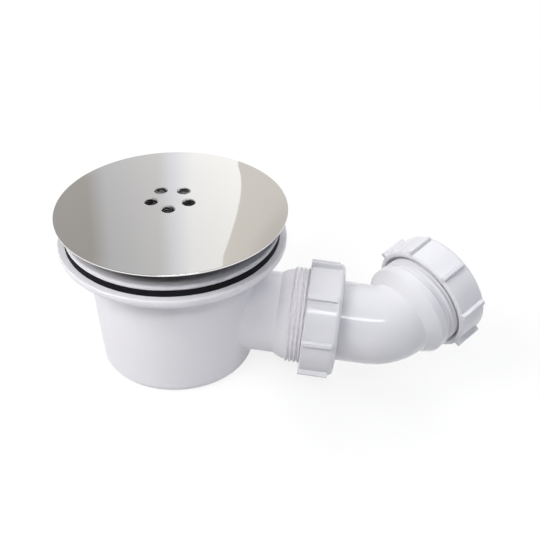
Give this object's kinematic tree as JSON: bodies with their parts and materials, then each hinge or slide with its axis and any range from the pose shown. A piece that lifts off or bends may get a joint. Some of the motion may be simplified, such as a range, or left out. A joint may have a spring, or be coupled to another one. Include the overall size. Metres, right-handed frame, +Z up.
{
  "type": "shower trap",
  "caption": "Shower trap: polished domed steel cover over a white tapered cup with a clamp flange, removable dip tube, and a swivelling threaded outlet elbow with ribbed coupling nuts.",
  "frame": {"origin": "the tray seat: centre of the body gasket's top face, on the axis of the cup", "axes": "+Z up along the cup's axis, +X along the outlet spigot in plan"},
  "size_m": [0.2103, 0.112, 0.0955],
  "materials": {
    "polished_steel": "polished stainless sheet",
    "white_satin": "white polypropylene, fine satin moulding",
    "white_gloss": "white polypropylene, smooth gloss",
    "inner_white": "white polypropylene, plain",
    "black_rubber": "matt black rubber"
  },
  "bodies": {
    "trap": {"trap_body": "white_satin", "body_gasket": "black_rubber", "top_flange": "white_satin", "dip_tube": "inner_white", "dip_tube_seal": "black_rubber", "hair_strainer": "inner_white", "cover_carrier": "inner_white", "cover_plate": "polished_steel", "outlet_seal": "black_rubber", "outlet_slip_ring": "inner_white"},
    "outlet_nut": {"outlet_nut": "white_gloss"},
    "elbow": {"elbow": "white_gloss", "pipe_seal": "black_rubber", "pipe_slip_ring": "inner_white"},
    "pipe_nut": {"pipe_nut": "white_gloss"}
  },
  "joints": [
    {"name": "outlet_nut_turn", "type": "hinge", "parent": "trap", "child": "outlet_nut", "pos_m": [0.07372, 0, -0.04785], "axis": [0.9962, 0, -0.0872], "continuous": true},
    {"name": "elbow_swivel", "type": "hinge", "parent": "trap", "child": "elbow", "pos_m": [0.06575, 0, -0.04715], "axis": [0.9962, 0, -0.0872], "continuous": true},
    {"name": "pipe_nut_turn", "type": "hinge", "parent": "elbow", "child": "pipe_nut", "pos_m": [0.12818, 0.02375, -0.04394], "axis": [0.6632, 0.7198, 0.205], "continuous": true}
  ]
}
